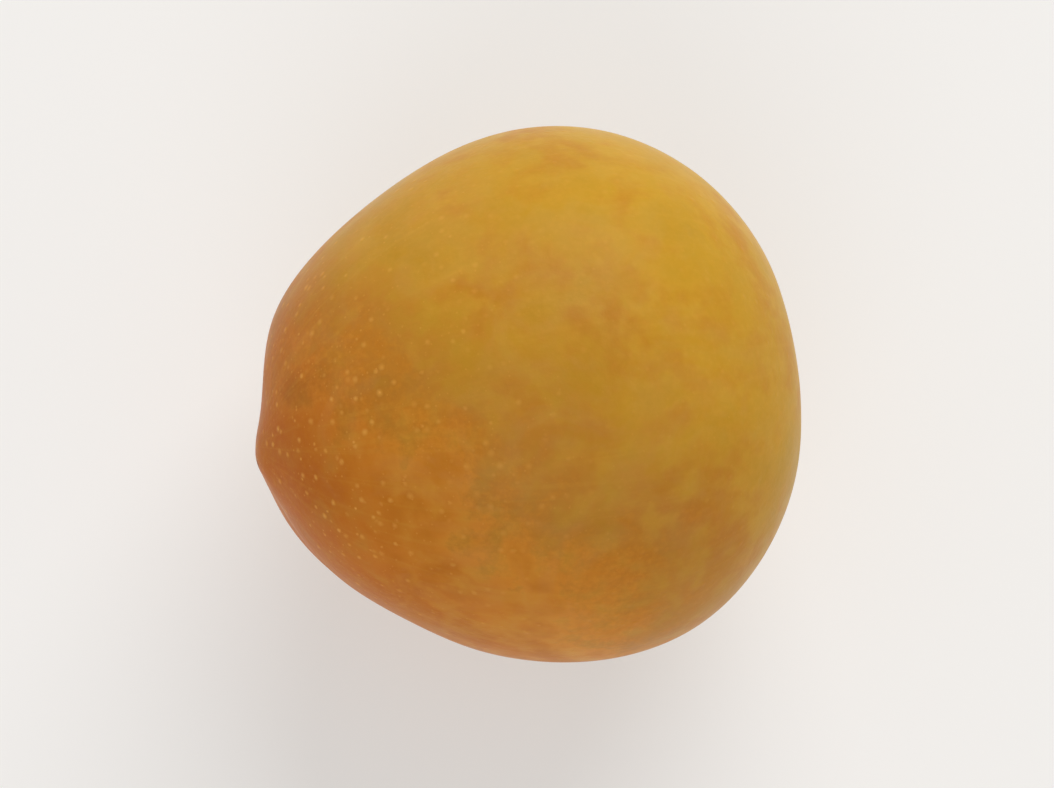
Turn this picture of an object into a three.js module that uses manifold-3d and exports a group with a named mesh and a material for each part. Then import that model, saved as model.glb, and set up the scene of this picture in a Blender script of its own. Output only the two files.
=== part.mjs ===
// A golden plum lying on its side, modelled as one solid.
// Millimetres, +Z up. The origin is the middle of the flat spot that the plum rests on.
// The stem hollow faces +X and a little down, the blunt tip -X, the suture the front (-Y).

import * as THREE from "three";
import { mergeVertices } from "three/addons/utils/BufferGeometryUtils.js";
import Module from "manifold-3d";

// Body of the fruit
const calibre = 48;            // widest across the stem axis
const heart = 0.028;           // share of the radius that draws out the tip and squares the shoulders
const stretch = 0.017;         // share of the radius added along the stem axis
const sideNarrowing = 0.013;   // share of the radius taken off across the suture
const cheekDifference = 0.5;   // one cheek stands this much prouder than the other

// How it lies, in degrees
const yaw = 11;                // stem end turned from +X towards +Y
const dip = 11.5;              // stem end below the level
const sutureDrop = 22;         // suture below the level of the stem axis

// Stem hollow with the low scar at its bottom
const hollowDepth = 5.2;
const hollowSpread = 14;       // degrees round the stem axis
const scarRadius = 1.5;
const scarRise = 0.3;
const scarTop = 0.7;           // part of the scar's radius that is its level top

// Suture
const sutureDepth = 1.15;
const valleyWidth = 5.5;
const creaseWidth = 1.2;
const creaseShare = 0.36;      // part of the depth that is the narrow crease
const sutureLeast = 0.4;       // part of the depth left away from the stem shoulder
const sutureDeepest = 28;      // degrees from the stem axis where it is deepest
const sutureFade = 34;         // degrees over which it grows shallow
const sutureNone = -0.05;      // leaning to the suture side, from -1 to 1, where the groove starts
const sutureWhole = 0.15;      // and where it is whole

// Blunt tip, leaning to the suture side
const tipLean = 3.7;           // degrees off the stem axis
const tipHeight = 0.9;
const tipSpread = 7.5;         // degrees

// Soft unevenness: compass degree from +X, degrees above the level, millimetres out, degrees wide
const tipSide = { compass: 181, above: 0, out: -1.4, spread: 12.4 };
const frontShoulder = { compass: 305, above: 0, out: 0.75, spread: 33 };
const frontFlank = { compass: 238, above: 0, out: -0.45, spread: 18.5 };
const backFlank = { compass: 130, above: 0, out: -0.75, spread: 25.5 };
const underside = { compass: -4, above: -77, out: -0.9, spread: 20 };

// Flat spot, below the middle of the fruit
const restHeight = 22.91;
const restX = 0.37;
const restY = -0.09;

// Mesh: rings and sides, gathered towards the ends and the suture
const sides = 84;
const rings = 48;
const gatherSuture = 0.5;
const gatherEnds = 0.6;
const weldGap = 1e-4;

const deg = THREE.MathUtils.degToRad;
const bell = (distance, width) => Math.exp(-((distance / width) ** 2));

function pointing(compass, above) {
  const level = Math.cos(deg(above));
  return new THREE.Vector3(
    level * Math.cos(deg(compass)),
    level * Math.sin(deg(compass)),
    Math.sin(deg(above)),
  );
}

// The fruit's own directions
const stem = pointing(yaw, -dip);
const across = new THREE.Vector3(0, 0, 1).cross(stem).normalize();
const upper = stem.clone().cross(across);
const suture = new THREE.Vector3()
  .addScaledVector(across, -Math.cos(deg(sutureDrop)))
  .addScaledVector(upper, -Math.sin(deg(sutureDrop)));
const cheek = stem.clone().cross(suture);
const tip = new THREE.Vector3()
  .addScaledVector(stem, -Math.cos(deg(tipLean)))
  .addScaledVector(suture, Math.sin(deg(tipLean)));
const swells = [tipSide, frontShoulder, frontFlank, backFlank, underside].map((swell) => ({
  towards: pointing(swell.compass, swell.above),
  out: swell.out,
  spread: deg(swell.spread),
}));

// Distance from the middle of the fruit to its skin in one direction
function skinRadius(direction) {
  const fromStem = direction.angleTo(stem);
  const sideways = direction.dot(cheek);
  const forward = direction.dot(suture);
  let radius = (calibre / 2) *
    (1 - heart * Math.cos(3 * fromStem) + stretch * Math.cos(2 * fromStem));
  radius *= 1 - sideNarrowing * sideways ** 2;
  radius += cheekDifference * sideways * Math.max(0, forward);

  radius -= hollowDepth * bell(fromStem, deg(hollowSpread));
  const fromAxis = radius * Math.sin(fromStem);
  if (fromStem < Math.PI / 2) {
    radius += scarRise * (1 - THREE.MathUtils.smoothstep(fromAxis, scarTop * scarRadius, scarRadius));
  }

  const onSutureSide = THREE.MathUtils.smoothstep(forward, sutureNone, sutureWhole);
  const nearShoulder = bell(fromStem - deg(sutureDeepest), deg(sutureFade));
  const grooveDepth = sutureDepth * (sutureLeast + (1 - sutureLeast) * nearShoulder);
  const offLine = (sideways * calibre) / 2;
  const groove = (1 - creaseShare) * bell(offLine, valleyWidth) +
    creaseShare * bell(offLine, creaseWidth);
  radius -= onSutureSide * grooveDepth * groove;

  radius += tipHeight * bell(direction.angleTo(tip), deg(tipSpread));
  for (const swell of swells) {
    radius += swell.out * bell(direction.angleTo(swell.towards), swell.spread);
  }
  return radius;
}

// Skin, from a sphere whose poles lie on the stem axis
function makeFruit() {
  const geometry = new THREE.SphereGeometry(1, sides, rings);
  const position = geometry.attributes.position;
  const point = new THREE.Vector3();
  const direction = new THREE.Vector3();
  for (let i = 0; i < position.count; i += 1) {
    point.fromBufferAttribute(position, i);
    const turn = Math.atan2(point.z, -point.x);
    const fall = Math.acos(THREE.MathUtils.clamp(point.y, -1, 1));
    const round = turn - gatherSuture * Math.sin(turn);
    const down = fall - (gatherEnds / 2) * Math.sin(2 * fall);
    direction.set(0, 0, 0)
      .addScaledVector(stem, Math.cos(down))
      .addScaledVector(suture, Math.sin(down) * Math.cos(round))
      .addScaledVector(cheek, Math.sin(down) * Math.sin(round))
      .normalize();
    direction.multiplyScalar(skinRadius(direction));
    position.setXYZ(i, direction.x, direction.y, direction.z);
  }
  return geometry;
}

const wasm = await Module();
wasm.setup();

function toManifold(geometry) {
  const bare = geometry.clone();
  bare.deleteAttribute("normal");
  bare.deleteAttribute("uv");
  const welded = mergeVertices(bare, weldGap);
  return new wasm.Manifold(new wasm.Mesh({
    numProp: 3,
    vertProperties: new Float32Array(welded.attributes.position.array),
    triVerts: new Uint32Array(welded.index.array),
  }));
}

function toGeometry(manifold) {
  const mesh = manifold.getMesh();
  const geometry = new THREE.BufferGeometry();
  geometry.setAttribute("position", new THREE.BufferAttribute(new Float32Array(mesh.vertProperties), 3));
  geometry.setIndex(new THREE.BufferAttribute(new Uint32Array(mesh.triVerts), 1));
  geometry.computeVertexNormals();
  return geometry;
}

// Flat resting spot, cut square to the vertical
const below = new THREE.BoxGeometry(calibre, calibre, calibre / 2);
below.translate(0, 0, -restHeight - calibre / 4);
const resting = toManifold(makeFruit()).subtract(toManifold(below));
const body = toGeometry(resting);

const skin = new THREE.MeshStandardMaterial({ name: "plum_skin", color: 0xc08a34, roughness: 0.45 });
const plum = new THREE.Mesh(body, skin);
plum.name = "plum";
plum.position.set(-restX, -restY, restHeight);

const group = new THREE.Group();
group.name = "golden_plum";
group.add(plum);

export default group;
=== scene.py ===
from math import acos, atan2, cos, degrees, exp, radians, sin
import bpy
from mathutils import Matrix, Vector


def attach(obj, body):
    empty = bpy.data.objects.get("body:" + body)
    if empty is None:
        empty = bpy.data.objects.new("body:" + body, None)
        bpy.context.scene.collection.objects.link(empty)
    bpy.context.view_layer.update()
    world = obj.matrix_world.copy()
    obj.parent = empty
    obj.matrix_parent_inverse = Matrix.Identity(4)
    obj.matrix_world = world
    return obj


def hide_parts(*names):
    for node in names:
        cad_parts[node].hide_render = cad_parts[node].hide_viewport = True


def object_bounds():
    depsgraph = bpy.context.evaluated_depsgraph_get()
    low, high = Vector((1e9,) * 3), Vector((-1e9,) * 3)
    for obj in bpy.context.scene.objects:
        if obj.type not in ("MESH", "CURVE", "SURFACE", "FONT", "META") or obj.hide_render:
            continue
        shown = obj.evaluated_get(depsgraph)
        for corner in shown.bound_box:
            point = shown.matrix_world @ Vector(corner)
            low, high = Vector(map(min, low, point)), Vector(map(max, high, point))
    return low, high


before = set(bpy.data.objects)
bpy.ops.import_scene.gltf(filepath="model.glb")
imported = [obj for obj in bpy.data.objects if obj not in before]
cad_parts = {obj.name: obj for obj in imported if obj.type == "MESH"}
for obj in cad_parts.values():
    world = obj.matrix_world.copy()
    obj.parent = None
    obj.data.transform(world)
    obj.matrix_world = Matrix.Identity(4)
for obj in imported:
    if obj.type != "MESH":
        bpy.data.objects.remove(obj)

from types import SimpleNamespace

import bmesh
import bpy
from mathutils import Matrix, Vector, noise

cadLow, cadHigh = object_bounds()
cadMiddle = (cadLow + cadHigh) / 2
mm = 0.001
print("frame loaded:", sorted(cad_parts))


# Camera: the photograph looks down on the plum, a little from the front and the left
cameraSet = {
    "imageSize": (1054, 788),
    "sensor": 36.0,          # millimetres
    "height": 0.70,          # above the floor, metres
    "stepAside": -0.023,     # metres along X
    "stepBack": -0.061,      # metres along Y
    "fill": 0.68,            # share of the picture's height that the plum takes
}


def makeCamera():
    wide, high = cameraSet["imageSize"]
    asideX = cadMiddle.x + cameraSet["stepAside"]
    backY = cadMiddle.y + cameraSet["stepBack"]
    place = Vector((asideX, backY, cameraSet["height"]))
    seenHeight = (cadHigh.y - cadLow.y) / cameraSet["fill"]
    data = bpy.data.cameras.new("photoCamera")
    data.sensor_width = cameraSet["sensor"]
    data.lens = cameraSet["sensor"] * high / wide * (place - cadMiddle).length / seenHeight
    camera = bpy.data.objects.new("photoCamera", data)
    bpy.context.scene.collection.objects.link(camera)
    back = (place - cadMiddle).normalized()
    right = Vector((0, 1, 0)).cross(back).normalized()
    camera.matrix_world = Matrix((right, back.cross(right), back)).transposed().to_4x4()
    camera.location = place
    bpy.context.scene.camera = camera
    print("camera: lens", round(data.lens, 1), "mm")


makeCamera()


# Shape of the fruit, in millimetres and degrees; the same values as the solid in the frame
plumShape = {
    "calibre": 48.0,          # widest across the stem axis
    "heart": 0.028,           # share of the radius that draws out the tip and squares the shoulders
    "stretch": 0.017,         # share of the radius added along the stem axis
    "sideNarrowing": 0.013,   # share of the radius taken off across the suture
    "cheekDifference": 0.5,   # one cheek stands this much prouder than the other
    "yaw": 11.0,              # stem end turned from +X towards +Y
    "dip": 11.5,              # stem end below the level
    "sutureDrop": 22.0,       # suture below the level of the stem axis
    "hollowDepth": 5.2,
    "hollowSpread": 14.0,
    "scarRadius": 1.5,
    "scarRise": 0.3,
    "scarTop": 0.7,           # part of the scar's radius that is its level top
    "sutureDepth": 1.15,
    "valleyWidth": 5.5,
    "creaseWidth": 1.2,
    "creaseShare": 0.36,      # part of the depth that is the narrow crease
    "sutureLeast": 0.4,       # part of the depth left away from the stem shoulder
    "sutureDeepest": 28.0,    # degrees from the stem axis
    "sutureFade": 34.0,       # degrees over which it grows shallow
    "sutureNone": -0.05,      # leaning to the suture side, from -1 to 1, where the groove starts
    "sutureWhole": 0.15,      # and where it is whole
    "tipLean": 3.7,           # off the stem axis, to the suture side
    "tipHeight": 0.9,
    "tipSpread": 7.5,
    "restHeight": 22.91,      # flat spot, below the middle of the fruit
    "restX": 0.37,
    "restY": -0.09,
}

# Soft unevenness: compass degree from +X, degrees above the level, millimetres out, degrees wide
plumSwells = [
    {"compass": 181.0, "above": 0.0, "out": -1.4, "spread": 12.4},
    {"compass": 305.0, "above": 0.0, "out": 0.75, "spread": 33.0},
    {"compass": 238.0, "above": 0.0, "out": -0.45, "spread": 18.5},
    {"compass": 130.0, "above": 0.0, "out": -0.75, "spread": 25.5},
    {"compass": -4.0, "above": -77.0, "out": -0.9, "spread": 20.0},
]

# Fine forms that only the looks need, in millimetres and degrees
plumDetail = {
    "subdivisions": 7,
    "scarZones": (12.0, 10.0, 8.5),  # degrees from the stem axis; each one halves the mesh again
    "tipZones": (6.0, 3.5),          # degrees round the tip, likewise
    "creaseZone": 1.6,               # millimetres either side of the suture, likewise
    "wave": 0.09,                    # slow unevenness of the skin
    "waveLength": 9.0,
    "stemReach": 60.0,               # degrees from the stem axis with relief of its own
    "puckers": 11,                   # soft folds that run into the stem hollow
    "puckerDepth": 0.11,
    "puckerMiddle": 9.0,             # degrees from the stem axis where they are deepest
    "puckerSpread": 7.0,
    "puckerWander": 1.7,             # radians by which they stray
    "puckerWanderLength": 5.0,
    "scarRagged": 0.55,              # share by which the edge of the scar wanders
    "scarLobes": 2.3,                # how closely its lobes follow each other
    "scarLip": 0.12,
    "lipPlace": 0.95,                # in radii of the scar, as are the next three
    "corkEdge": (0.8, 1.1),          # where cork gives way to skin
    "dishEdge": (0.2, 0.85),         # where the dish in the scar rises to its lip
    "splitStart": (0.3, 0.7),        # where the cracks open
    "lipWidth": 0.25,
    "scarDish": 0.34,
    "corkRough": 0.13,
    "corkLength": 0.45,
    "splitNumber": 3.0,              # how closely the cracks of the scar follow each other
    "splitWidth": 0.3,
    "splitCore": 0.1,                # part of a crack's width that has the whole depth
    "splitDepth": 0.2,
    "splitBend": 0.3,                # how far the cracks bend on their way out
    "splitReach": 1.5,               # mean length in radii of the scar
    "splitUneven": 1.1,              # and by how much it differs
    "splitFade": 0.5,                # part of the length after which a crack closes
    "splitSeed": (7.0, 0.0),
    "reachSeed": (0.0, 9.0, 0.0),
    "tipCollar": 0.1,                # low swelling round the dry point of the tip
    "tipCollarSpread": 3.0,          # in radii of the dry point
    "tipMark": 0.36,                 # radius of the dry point
    "tipMarkDepth": 0.14,
    "sutureEnd": (-0.08, 0.04),      # leaning to the suture side over which its line ends
    "offSuture": 40.0,               # distance given to the skin past that end
    "cutGap": 1e-7,                  # metres within which a point lies on the cut
    "flatNormal": -0.9995,           # a face that points further down is in the flat spot
}


def pointing(compass, above):
    level = cos(radians(above))
    return Vector((level * cos(radians(compass)), level * sin(radians(compass)), sin(radians(above))))


# The fruit's own directions
stem = pointing(plumShape["yaw"], -plumShape["dip"])
across = Vector((0, 0, 1)).cross(stem).normalized()
upper = stem.cross(across)
drop = radians(plumShape["sutureDrop"])
suture = -across * cos(drop) - upper * sin(drop)
cheek = stem.cross(suture)
lean = radians(plumShape["tipLean"])
tip = -stem * cos(lean) + suture * sin(lean)
middle = Vector((-plumShape["restX"], -plumShape["restY"], plumShape["restHeight"]))


def bell(distance, width):
    return exp(-((distance / width) ** 2))


def smoothStep(low, high, value):
    share = min(1.0, max(0.0, (value - low) / (high - low)))
    return share * share * (3 - 2 * share)


def angleBetween(first, second):
    return degrees(acos(min(1.0, max(-1.0, first.dot(second)))))


# Distance from the middle of the fruit to its skin in one direction, in millimetres
def skinRadius(direction):
    shape = plumShape
    fromStem = angleBetween(direction, stem)
    turn = radians(fromStem)
    sideways = direction.dot(cheek)
    forward = direction.dot(suture)
    radius = shape["calibre"] / 2 * (1 - shape["heart"] * cos(3 * turn) + shape["stretch"] * cos(2 * turn))
    radius *= 1 - shape["sideNarrowing"] * sideways ** 2
    radius += shape["cheekDifference"] * sideways * max(0.0, forward)

    radius -= shape["hollowDepth"] * bell(fromStem, shape["hollowSpread"])
    if fromStem < 90:
        fromAxis = radius * sin(turn)
        levelTop = shape["scarTop"] * shape["scarRadius"]
        radius += shape["scarRise"] * (1 - smoothStep(levelTop, shape["scarRadius"], fromAxis))

    onSutureSide = smoothStep(shape["sutureNone"], shape["sutureWhole"], forward)
    nearShoulder = bell(fromStem - shape["sutureDeepest"], shape["sutureFade"])
    grooveDepth = shape["sutureDepth"] * (shape["sutureLeast"] + (1 - shape["sutureLeast"]) * nearShoulder)
    offLine = sideways * shape["calibre"] / 2
    groove = (1 - shape["creaseShare"]) * bell(offLine, shape["valleyWidth"])
    groove += shape["creaseShare"] * bell(offLine, shape["creaseWidth"])
    radius -= onSutureSide * grooveDepth * groove

    radius += shape["tipHeight"] * bell(angleBetween(direction, tip), shape["tipSpread"])
    for swell in plumSwells:
        away = angleBetween(direction, pointing(swell["compass"], swell["above"]))
        radius += swell["out"] * bell(away, swell["spread"])
    return radius


# Relief round the stem scar, and how far a point is cork or split
def stemRelief(direction, point, fromStem):
    detail = plumDetail
    turn = atan2(direction.dot(cheek), direction.dot(suture))
    onRing = Vector((cos(turn), sin(turn), 0.0))
    fromAxis = point.length * sin(radians(fromStem))

    # folds of the hollow
    wander = detail["puckerWander"] * noise.noise(point / detail["puckerWanderLength"])
    fold = sin(detail["puckers"] * turn + wander)
    rise = detail["puckerDepth"] * fold * bell(fromStem - detail["puckerMiddle"], detail["puckerSpread"])

    # ragged, dished scar
    lobe = noise.noise(onRing * detail["scarLobes"])
    edge = plumShape["scarRadius"] * (1 + detail["scarRagged"] * lobe)
    outward = fromAxis / edge
    cork = 1 - smoothStep(*detail["corkEdge"], outward)
    rise += detail["scarLip"] * bell(fromAxis - detail["lipPlace"] * edge, detail["lipWidth"])
    rise -= detail["scarDish"] * (1 - smoothStep(*detail["dishEdge"], outward))
    rise += detail["corkRough"] * noise.noise(point / detail["corkLength"]) * cork

    # cracks that run out from it
    crackPlace = onRing * detail["splitNumber"]
    offCrack = abs(noise.noise(crackPlace + Vector((*detail["splitSeed"], detail["splitBend"] * fromAxis))))
    uneven = detail["splitUneven"] * noise.noise(crackPlace + Vector(detail["reachSeed"]))
    reach = edge * (detail["splitReach"] + uneven)
    split = 1 - smoothStep(detail["splitCore"] * detail["splitWidth"], detail["splitWidth"], offCrack)
    split *= smoothStep(*detail["splitStart"], outward)
    split *= 1 - smoothStep(detail["splitFade"] * reach, reach, fromAxis)
    rise -= detail["splitDepth"] * split
    return rise, cork, split


# Small forms on the skin, added to the radius, in millimetres
def skinDetail(direction, radius):
    detail = plumDetail
    point = direction * radius
    rise = detail["wave"] * noise.noise(point / detail["waveLength"])
    cork, split = 0.0, 0.0
    fromStem = angleBetween(direction, stem)
    if fromStem < detail["stemReach"]:
        folds, cork, split = stemRelief(direction, point, fromStem)
        rise += folds
    fromTip = radius * radians(angleBetween(direction, tip))
    rise += detail["tipCollar"] * bell(fromTip, detail["tipCollarSpread"] * detail["tipMark"])
    rise -= detail["tipMarkDepth"] * bell(fromTip, detail["tipMark"])
    return rise, cork, split


# Splits the edges whose two ends both pass the test
def refine(bm, wanted):
    chosen = [edge for edge in bm.edges if all(wanted(vert.co.normalized()) for vert in edge.verts)]
    bmesh.ops.subdivide_edges(bm, edges=chosen, cuts=1, use_grid_fill=True)


# Millimetres from the middle plane through the suture
def besideSuture(direction):
    return abs(direction.dot(cheek)) * plumShape["calibre"] / 2


def nearCrease(direction):
    onSutureSide = direction.dot(suture) > plumShape["sutureNone"]
    return onSutureSide and besideSuture(direction) < plumDetail["creaseZone"]


# Moves each point of the ball out to the skin, and notes where on the fruit it lies
def shapeSkin(bm):
    stemAngle = bm.verts.layers.float.new("stemAngle")
    tipAngle = bm.verts.layers.float.new("tipAngle")
    sutureGap = bm.verts.layers.float.new("sutureGap")
    corkShare = bm.verts.layers.float.new("corkShare")
    splitShare = bm.verts.layers.float.new("splitShare")
    meridian = bm.verts.layers.float_vector.new("meridian")
    for vert in bm.verts:
        direction = vert.co.normalized()
        radius = skinRadius(direction)
        rise, vert[corkShare], vert[splitShare] = skinDetail(direction, radius)
        vert.co = (middle + direction * (radius + rise)) * mm
        fromStem = angleBetween(direction, stem)
        forward = direction.dot(suture)
        sideways = direction.dot(cheek)
        vert[stemAngle] = fromStem
        vert[tipAngle] = angleBetween(direction, tip)
        pastEnd = 1 - smoothStep(*plumDetail["sutureEnd"], forward)
        vert[sutureGap] = besideSuture(direction) + plumDetail["offSuture"] * pastEnd
        flat = Vector((forward, sideways)).normalized() if forward or sideways else Vector((1, 0))
        vert[meridian] = Vector((flat.x, flat.y, fromStem / 180))


# Cuts the flat spot underneath and closes it
def cutFlatSpot(bm):
    everything = bm.verts[:] + bm.edges[:] + bm.faces[:]
    cut = bmesh.ops.bisect_plane(
        bm, geom=everything, dist=plumDetail["cutGap"],
        plane_co=(0, 0, 0), plane_no=(0, 0, -1), clear_outer=True)
    rim = [item for item in cut["geom_cut"] if isinstance(item, bmesh.types.BMEdge)]
    bmesh.ops.edgeloop_fill(bm, edges=rim)
    bmesh.ops.triangulate(bm, faces=[face for face in bm.faces if len(face.verts) > 4])
    bmesh.ops.recalc_face_normals(bm, faces=bm.faces)
    for face in bm.faces:
        face.smooth = face.normal.z > plumDetail["flatNormal"]


def makePlum():
    bm = bmesh.new()
    bmesh.ops.create_icosphere(bm, subdivisions=plumDetail["subdivisions"], radius=1.0)
    refine(bm, nearCrease)
    for zone in plumDetail["scarZones"]:
        refine(bm, lambda direction: angleBetween(direction, stem) < zone)
    for zone in plumDetail["tipZones"]:
        refine(bm, lambda direction: angleBetween(direction, tip) < zone)
    print("plum: skin refined to", len(bm.verts), "points")
    shapeSkin(bm)
    cutFlatSpot(bm)

    mesh = bpy.data.meshes.new("plum_fruit")
    bm.to_mesh(mesh)
    bm.free()
    plum = bpy.data.objects.new("plum_fruit", mesh)
    bpy.context.scene.collection.objects.link(plum)
    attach(plum, "root")
    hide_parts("plum")
    print("plum: made with", len(mesh.polygons), "faces")
    return plum


plum = makePlum()


# Shader maths: a wrapped socket, on which each sum adds a Math node
class Wire:

    def __init__(self, tree, socket=None):
        self.tree = tree
        self.socket = socket

    def make(self, kind, settings, inputs, output=0):
        node = self.tree.nodes.new(kind)
        for name, value in settings.items():
            if name == "stops":
                ramp = node.color_ramp
                while len(ramp.elements) < len(value):
                    ramp.elements.new(1.0)
                for stop, (position, tint) in zip(ramp.elements, value):
                    stop.position = position
                    stop.color = tint
            else:
                setattr(node, name, value)
        for name, value in inputs.items():
            if isinstance(value, Wire):
                self.tree.links.new(value.socket, node.inputs[name])
            else:
                node.inputs[name].default_value = value
        return Wire(self.tree, node.outputs[output]) if node.outputs else None

    def maths(self, operation, first, second):
        return self.make("ShaderNodeMath", {"operation": operation}, {0: first, 1: second})

    def __add__(self, other):
        return self.maths("ADD", self, other)

    def __radd__(self, other):
        return self.maths("ADD", other, self)

    def __sub__(self, other):
        return self.maths("SUBTRACT", self, other)

    def __rsub__(self, other):
        return self.maths("SUBTRACT", other, self)

    def __mul__(self, other):
        return self.maths("MULTIPLY", self, other)

    def __rmul__(self, other):
        return self.maths("MULTIPLY", other, self)

    def __truediv__(self, other):
        return self.maths("DIVIDE", self, other)

    def __rtruediv__(self, other):
        return self.maths("DIVIDE", other, self)


# The nodes that come up most often, each hung on a wire that is already there
def vector(operation, first, inputs, output="Vector"):
    return first.make("ShaderNodeVectorMath", {"operation": operation}, {0: first, **inputs}, output)


def noiseAt(place, kind):
    length, octaves, roughness, warp = kind
    return place.make("ShaderNodeTexNoise", {}, {
        "Vector": place,
        "Scale": 1 / length,
        "Detail": octaves,
        "Roughness": roughness,
        "Distortion": warp,
    })


def smooth(value, span, bottom=0.0, top=1.0):
    inputs = {0: value, 1: span[0], 2: span[1], 3: bottom, 4: top}
    return value.make("ShaderNodeMapRange", {"interpolation_type": "SMOOTHSTEP"}, inputs)


def mix(share, first, second):
    return share.make("ShaderNodeMix", {"data_type": "RGBA"}, {0: share, 6: first, 7: second}, 2)


# Noise about its mean, so that it can push a value both ways
def swing(wire, amount):
    return (wire - 0.5) * amount


# sRGB colour, 0 to 255, as the linear value that a socket takes
def colour(red, green, blue):
    linear = []
    for part in (red / 255, green / 255, blue / 255):
        linear.append(part / 12.92 if part < 0.04045 else ((part + 0.055) / 1.055) ** 2.4)
    return (*linear, 1.0)


# Looks of the skin: colours as sRGB, lengths in millimetres, angles in degrees from stem or tip
skinLook = {
    # noises: length, octaves, roughness, warp
    "blotch": (13.0, 2.0, 0.5, 0.3),
    "drift": (5.5, 2.0, 0.5, 0.2),
    "mottle": (2.4, 2.5, 0.5, 0.2),
    "grain": (0.6, 3.0, 0.6, 0.0),
    "strand": (0.55, 3.0, 0.6, 0.5),
    "rub": (8.0, 4.0, 0.62, 1.2),
    "patternShift": (12.0, 140.0, 77.0),      # moves blotch, drift and mottle over the skin
    "patternTurn": (0.6, 0.9, 0.3),           # radians; turns them
    "strandStretch": (9.0, 9.0, 2.2),         # fine round the fruit, long from stem to tip

    # golden ground, from the shaded side to the side that caught the sun
    "ripening": [
        (0.10, colour(192, 146, 35)),
        (0.28, colour(190, 141, 36)),
        (0.44, colour(190, 138, 40)),
        (0.63, colour(182, 122, 42)),
        (0.72, colour(187, 122, 39)),
        (0.82, colour(205, 131, 42)),
        (0.94, colour(194, 116, 30)),
        (1.00, colour(186, 104, 22)),
    ],
    "sunSide": (-0.66, -0.74, 0.10),
    "ripenBy": {"blotch": 0.5, "drift": 0.34, "mottle": 0.22, "grain": 0.15},
    "ochre": colour(168, 104, 24),
    "ochreFrom": {"drift": 0.6, "mottle": 0.4, "blotch": 0.4},
    "ochreSpan": (0.46, 0.7),
    "ochreShare": 0.5,
    "pale": colour(208, 159, 56),
    "paleSpan": (0.45, 0.75),
    "paleShare": 0.24,
    "deep": colour(178, 90, 14),              # flush round the tip
    "deepSpan": (10.0, 52.0),
    "deepWander": 24.0,
    "deepShare": 0.68,
    "lightness": 1.02,
    "lightenBy": {"drift": 0.34, "mottle": 0.24, "grain": 0.1},

    # fine strands from stem to tip, and a fine grain
    "strandSpan": (0.48, 0.75),
    "strandShare": 0.14,
    "grainSpan": (0.42, 0.75),
    "grainShare": 0.1,

    # pale dots, and the pores between them
    "dot": colour(228, 168, 76),
    "dotSpacing": 1.1,
    "dotRadius": 0.4,
    "dotFewest": 0.5,                         # the higher, the fewer away from the clusters
    "poreSpacing": 0.62,
    "poreRadius": 0.14,
    "poreFewest": 0.3,
    "fewestFade": 0.25,
    "sizeLeast": 0.45,                        # smallest share of the radius
    "sizeSpread": 0.75,
    "crowdSpan": (25.0, 100.0),               # they crowd towards the tip
    "crowdWander": 60.0,
    "dotPatch": (-0.68, -0.29, 0.67),         # and most of all here
    "patchSpan": (0.88, 0.98),
    "patchWander": 0.15,
    "clusterFrom": {"crowd": 0.35, "drift": 1.1, "patch": 0.8},
    "dotShare": {"least": 0.12, "crowd": 0.32, "patch": 0.2},
    "poreShare": {"least": 0.14, "crowd": 0.2},

    # suture: a fine line, a little deeper in colour
    "lineSpan": (0.1, 0.75),
    "lineShare": 0.25,

    # stem hollow: greener, and stained round the corky scar and its cracks
    "green": colour(184, 150, 38),
    "greenSpan": (6.0, 24.0),
    "greenWander": 8.0,
    "greenShare": 0.4,
    "stain": colour(146, 80, 26),
    "stainSpan": (4.5, 11.0),
    "stainWander": 5.0,
    "stainShare": 0.6,
    "cork": colour(156, 124, 92),
    "corkDark": colour(86, 52, 34),
    "corkSpan": (0.35, 0.65),
    "corkMottle": 0.5,
    "split": colour(50, 25, 16),
    "scarEdgeShare": 0.75,
    "splitShare": 0.9,

    # dry point at the tip, and a few flecks
    "russet": colour(120, 74, 30),
    "tipMarkSpan": (0.5, 1.3),
    "tipMarkWander": 1.4,
    "tipMarkShare": 0.75,
    "fleckSpacing": 9.0,
    "fleckSpan": (0.1, 0.28),
    "fleckWander": 0.35,
    "fleckShare": 0.55,

    # waxy bloom, rubbed away in patches
    "bloom": colour(226, 208, 176),
    "rubSpan": (0.42, 0.66),
    "stemShelter": (8.0, 34.0),
    "sutureShelter": (1.0, 5.0),
    "sutureShelterShare": 0.5,
    "bloomFrom": {"least": 0.4, "mottle": 0.6, "shelter": 0.6},
    "bloomShare": 0.035,

    # surface
    "roughness": 0.34,
    "roughenBy": {"bloom": 0.1, "dots": 0.06, "mottle": 0.08, "cork": 0.35},
    "heightFrom": {"grain": 0.4, "mottle": 0.5, "dots": 0.3, "strands": 0.15, "flecks": 0.3},
    "bumpStrength": 0.5,
    "bumpDepth": 0.00012,                     # metres
    "ior": 1.4,
    "gloss": 0.10,                            # specular level
    "scatter": 0.2,
    "scatterDepth": 0.0035,                   # metres
    "scatterSpread": (1.0, 0.42, 0.12),       # share of that depth for red, green and blue
}


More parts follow.
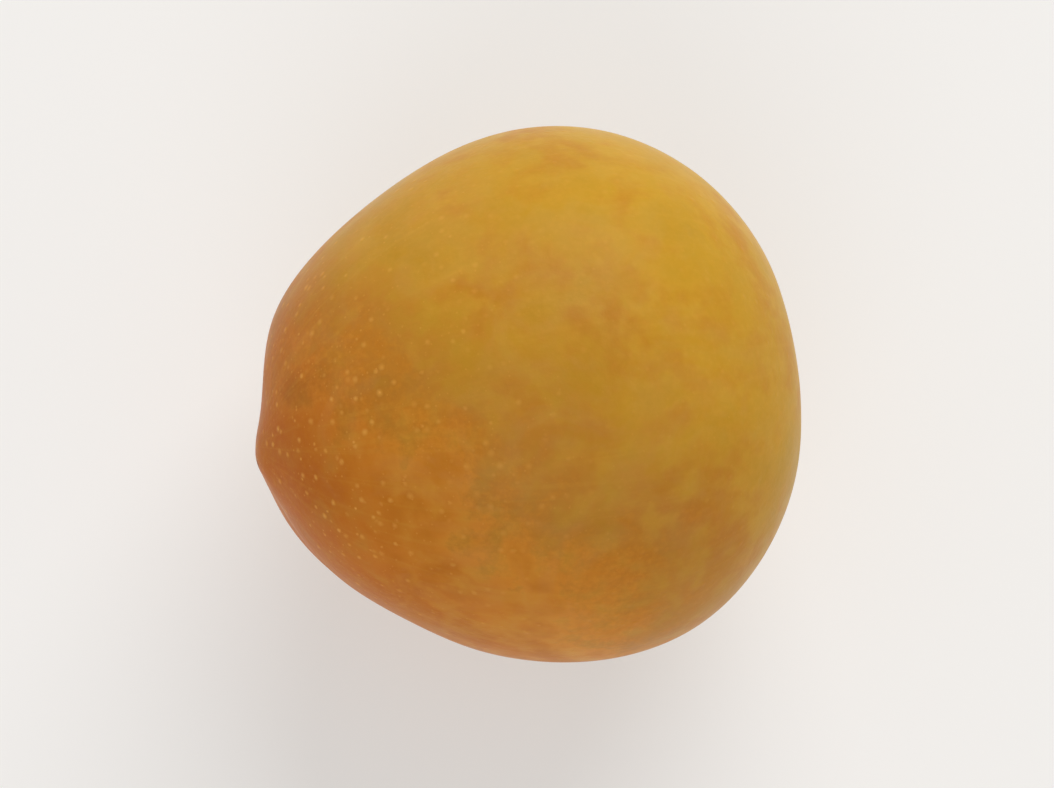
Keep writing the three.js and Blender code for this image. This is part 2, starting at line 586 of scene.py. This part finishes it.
# What the layers of colour read at each point of the skin
def readSkin(start):
    look = skinLook
    at = SimpleNamespace()
    for name in ("stemAngle", "tipAngle", "sutureGap", "corkShare", "splitShare"):
        wire = start.make("ShaderNodeAttribute", {"attribute_name": name}, {}, "Fac")
        setattr(at, name, wire)
    place = start.make("ShaderNodeTexCoord", {}, {}, "Object")
    at.point = vector("SCALE", place, {"Scale": 1 / mm})
    at.fromMiddle = vector("SUBTRACT", at.point, {1: tuple(middle)})
    turned = {"Vector": at.point, "Location": look["patternShift"], "Rotation": look["patternTurn"]}
    pattern = start.make("ShaderNodeMapping", {}, turned)
    for name in ("blotch", "drift", "mottle"):
        setattr(at, name, noiseAt(pattern, look[name]))
    at.grain = noiseAt(at.point, look["grain"])
    meridian = start.make("ShaderNodeAttribute", {"attribute_name": "meridian"}, {}, "Vector")
    at.strands = noiseAt(vector("MULTIPLY", meridian, {1: look["strandStretch"]}), look["strand"])
    return at


# Golden ground that warms towards the side that caught the sun, in soft drifts, and deepens at the tip
def groundColour(at):
    look = skinLook
    sunward = vector("DOT_PRODUCT", at.fromMiddle, {1: look["sunSide"]}, "Value")
    ripeness = sunward / plumShape["calibre"] + 0.5
    for name, amount in look["ripenBy"].items():
        ripeness = ripeness + swing(getattr(at, name), amount)
    skin = ripeness.make("ShaderNodeValToRGB", {"stops": look["ripening"]}, {0: ripeness})

    weight = look["ochreFrom"]
    ochre = at.drift * weight["drift"] + at.mottle * weight["mottle"] + swing(at.blotch, weight["blotch"])
    skin = mix(smooth(ochre, look["ochreSpan"]) * look["ochreShare"], skin, look["ochre"])
    skin = mix(smooth(1 - at.mottle, look["paleSpan"]) * look["paleShare"], skin, look["pale"])
    nearTip = 1 - smooth(at.tipAngle + swing(at.blotch, look["deepWander"]), look["deepSpan"])
    skin = mix(nearTip * look["deepShare"], skin, look["deep"])

    lightness = look["lightness"]
    for name, amount in look["lightenBy"].items():
        lightness = lightness + swing(getattr(at, name), amount)
    skin = vector("SCALE", skin, {"Scale": lightness})
    skin = mix(smooth(at.strands, look["strandSpan"]) * look["strandShare"], skin, look["pale"])
    return mix(smooth(at.grain, look["grainSpan"]) * look["grainShare"], skin, look["pale"])


# Round specks of uneven size, most of them in clusters
def specks(at, cluster, spacing, radius, fewest):
    look = skinLook
    inputs = {"Vector": at.point, "Scale": 1 / spacing, "Randomness": 1.0}
    away = cluster.make("ShaderNodeTexVoronoi", {"feature": "F1"}, inputs)
    cellColour = cluster.make("ShaderNodeTexVoronoi", {"feature": "F1"}, inputs, "Color")
    chance = cluster.make("ShaderNodeSeparateColor", {}, {0: cellColour})
    size = cluster.make("ShaderNodeSeparateColor", {}, {0: cellColour}, 1)
    ragged = away * spacing + swing(at.grain, radius)
    spot = 1 - smooth(ragged / (radius * (look["sizeLeast"] + size * look["sizeSpread"])), (0.0, 1.0))
    return spot * smooth(chance + cluster, (fewest, fewest + look["fewestFade"]))


# Pale dots, closer together round the tip, and finer pores between them
def addDots(skin, at):
    look = skinLook
    crowd = 1 - smooth(at.tipAngle + swing(at.blotch, look["crowdWander"]), look["crowdSpan"])
    patchward = vector("DOT_PRODUCT", at.fromMiddle, {1: look["dotPatch"]}, "Value")
    onPatch = patchward / (plumShape["calibre"] / 2) + swing(at.mottle, look["patchWander"])
    patch = smooth(onPatch, look["patchSpan"])
    weight = look["clusterFrom"]
    cluster = crowd * weight["crowd"] + swing(at.drift, weight["drift"]) + patch * weight["patch"]

    at.dots = specks(at, cluster, look["dotSpacing"], look["dotRadius"], look["dotFewest"])
    pores = specks(at, cluster, look["poreSpacing"], look["poreRadius"], look["poreFewest"])
    ofDots = look["dotShare"]
    ofPores = look["poreShare"]
    share = at.dots * (ofDots["least"] + crowd * ofDots["crowd"] + patch * ofDots["patch"])
    share = share + pores * (ofPores["least"] + crowd * ofPores["crowd"])
    return mix(share, skin, look["dot"])


# Suture, stem hollow with its scar, and the dry point at the tip
def addEnds(skin, at):
    look = skinLook
    line = 1 - smooth(at.sutureGap, look["lineSpan"])
    skin = mix(line * look["lineShare"], skin, look["ochre"])

    inHollow = 1 - smooth(at.stemAngle + swing(at.mottle, look["greenWander"]), look["greenSpan"])
    skin = mix(inHollow * look["greenShare"], skin, look["green"])
    strayed = at.stemAngle + swing(at.mottle, look["stainWander"]) + swing(at.strands, look["stainWander"])
    stained = 1 - smooth(strayed, look["stainSpan"])
    skin = mix(stained * look["stainShare"], skin, look["stain"])

    cork = at.corkShare
    corkLight = smooth(at.grain + swing(at.mottle, look["corkMottle"]), look["corkSpan"])
    skin = mix(cork, skin, mix(corkLight, look["corkDark"], look["cork"]))
    scarEdge = cork * (1 - cork) * 4  # highest, at 1, where cork and skin are equal
    skin = mix(scarEdge * look["scarEdgeShare"], skin, look["split"])
    skin = mix(at.splitShare * look["splitShare"], skin, look["split"])

    tipMark = 1 - smooth(at.tipAngle + swing(at.grain, look["tipMarkWander"]), look["tipMarkSpan"])
    return mix(tipMark * look["tipMarkShare"], skin, look["russet"])


# Thin waxy bloom where the skin is sheltered, and a few brown flecks
def addBloom(skin, at):
    look = skinLook
    rubbed = smooth(noiseAt(at.point, look["rub"]), look["rubSpan"])
    besideLine = 1 - smooth(at.sutureGap, look["sutureShelter"])
    sheltered = 1 - smooth(at.stemAngle, look["stemShelter"]) + besideLine * look["sutureShelterShare"]
    weight = look["bloomFrom"]
    at.bloom = rubbed * (weight["least"] + at.mottle * weight["mottle"] + sheltered * weight["shelter"])
    skin = mix(at.bloom * look["bloomShare"] * (1 - at.corkShare), skin, look["bloom"])

    inputs = {"Vector": at.point, "Scale": 1 / look["fleckSpacing"], "Randomness": 1.0}
    away = at.point.make("ShaderNodeTexVoronoi", {"feature": "F1"}, inputs)
    ragged = away * look["fleckSpacing"] + swing(at.grain, look["fleckWander"])
    at.flecks = 1 - smooth(ragged, look["fleckSpan"])
    return mix(at.flecks * look["fleckShare"], skin, look["russet"])


def skinMaterial():
    look = skinLook
    material = bpy.data.materials.new("plum_skin")
    material.use_nodes = True
    tree = material.node_tree
    tree.nodes.clear()
    start = Wire(tree)
    at = readSkin(start)
    skin = groundColour(at)
    skin = addDots(skin, at)
    skin = addEnds(skin, at)
    skin = addBloom(skin, at)

    by = look["roughenBy"]
    roughness = look["roughness"] + at.bloom * by["bloom"] + at.dots * by["dots"]
    roughness = roughness + swing(at.mottle, by["mottle"]) + at.corkShare * by["cork"]
    height = sum(getattr(at, name) * amount for name, amount in look["heightFrom"].items())
    bump = start.make("ShaderNodeBump", {}, {
        "Strength": look["bumpStrength"],
        "Distance": look["bumpDepth"],
        "Height": height,
    })
    surface = start.make("ShaderNodeBsdfPrincipled", {"subsurface_method": "RANDOM_WALK"}, {
        "Base Color": skin,
        "Roughness": roughness,
        "Normal": bump,
        "IOR": look["ior"],
        "Specular IOR Level": look["gloss"],
        "Subsurface Weight": look["scatter"],
        "Subsurface Radius": look["scatterSpread"],
        "Subsurface Scale": look["scatterDepth"],
    })
    start.make("ShaderNodeOutputMaterial", {}, {"Surface": surface})
    print("skin: material made with", len(tree.nodes), "nodes")
    return material


plum.data.materials.append(skinMaterial())


# Studio: a pale floor that fades into an even backdrop, a soft dome and two large lamps
studio = {
    "floorSize": 12.0,                   # metres
    "floorDrop": 0.00005,                # metres below the plum, so that the two faces don't coincide
    "floorColour": colour(252, 250, 247),
    "floorRoughness": 0.8,
    "floorGloss": 0.15,
    "floorGlow": 0.42,                   # share of the floor's own light beside the plum
    "floorFade": (0.1, 0.5),             # metres from the plum over which that share grows to all
    "domeColour": (1.0, 0.99, 0.975, 1.0),
    "domeLow": 0.86,                     # brightness at the horizon
    "domeTop": 0.38,                     # brightness overhead
    "domeTurn": 0.7,                     # height, from 0 to 1, where it is reached
    "lamps": [
        {"name": "keyLamp", "place": (0.50, 1.72, 1.40), "size": 1.9, "power": 35.0},
        {"name": "fillLamp", "place": (-0.25, -1.66, 1.55), "size": 1.8, "power": 10.5},
    ],
}


def floorMaterial():
    material = bpy.data.materials.new("floor")
    material.use_nodes = True
    material.node_tree.nodes.clear()
    start = Wire(material.node_tree)
    place = start.make("ShaderNodeTexCoord", {}, {}, "Object")
    away = vector("LENGTH", place, {}, "Value")
    fade = smooth(away, studio["floorFade"], studio["floorGlow"], 1.0)
    paper = start.make("ShaderNodeBsdfPrincipled", {}, {
        "Base Color": studio["floorColour"],
        "Roughness": studio["floorRoughness"],
        "Specular IOR Level": studio["floorGloss"],
    })
    backdrop = start.make("ShaderNodeEmission", {}, {
        "Color": studio["domeColour"],
        "Strength": studio["domeLow"],
    })
    surface = start.make("ShaderNodeMixShader", {}, {0: fade, 1: paper, 2: backdrop})
    start.make("ShaderNodeOutputMaterial", {}, {"Surface": surface})
    return material


def makeFloor():
    bm = bmesh.new()
    bmesh.ops.create_grid(bm, x_segments=1, y_segments=1, size=studio["floorSize"] / 2)
    bmesh.ops.translate(bm, verts=bm.verts, vec=(0, 0, -studio["floorDrop"]))
    mesh = bpy.data.meshes.new("floor")
    bm.to_mesh(mesh)
    bm.free()
    floor = bpy.data.objects.new("floor", mesh)
    bpy.context.scene.collection.objects.link(floor)
    mesh.materials.append(floorMaterial())


def makeDome():
    world = bpy.data.worlds.new("studio")
    world.use_nodes = True
    world.node_tree.nodes.clear()
    start = Wire(world.node_tree)
    direction = start.make("ShaderNodeTexCoord", {}, {}, "Generated")
    upward = start.make("ShaderNodeSeparateXYZ", {}, {0: direction}, "Z")
    strength = smooth(upward, (0.0, studio["domeTurn"]), studio["domeLow"], studio["domeTop"])
    surface = start.make("ShaderNodeBackground", {}, {"Color": studio["domeColour"], "Strength": strength})
    start.make("ShaderNodeOutputWorld", {}, {"Surface": surface})
    bpy.context.scene.world = world


def makeLamps():
    for lamp in studio["lamps"]:
        data = bpy.data.lights.new(lamp["name"], "AREA")
        data.shape = "DISK"
        data.size = lamp["size"]
        data.energy = lamp["power"]
        light = bpy.data.objects.new(lamp["name"], data)
        bpy.context.scene.collection.objects.link(light)
        light.location = lamp["place"]
        light.visible_camera = False
        light.rotation_euler = (cadMiddle - light.location).to_track_quat("-Z", "Y").to_euler()


makeFloor()
makeDome()
makeLamps()
bpy.context.scene.view_settings.view_transform = "Standard"
print("studio: floor, dome and", len(studio["lamps"]), "lamps")
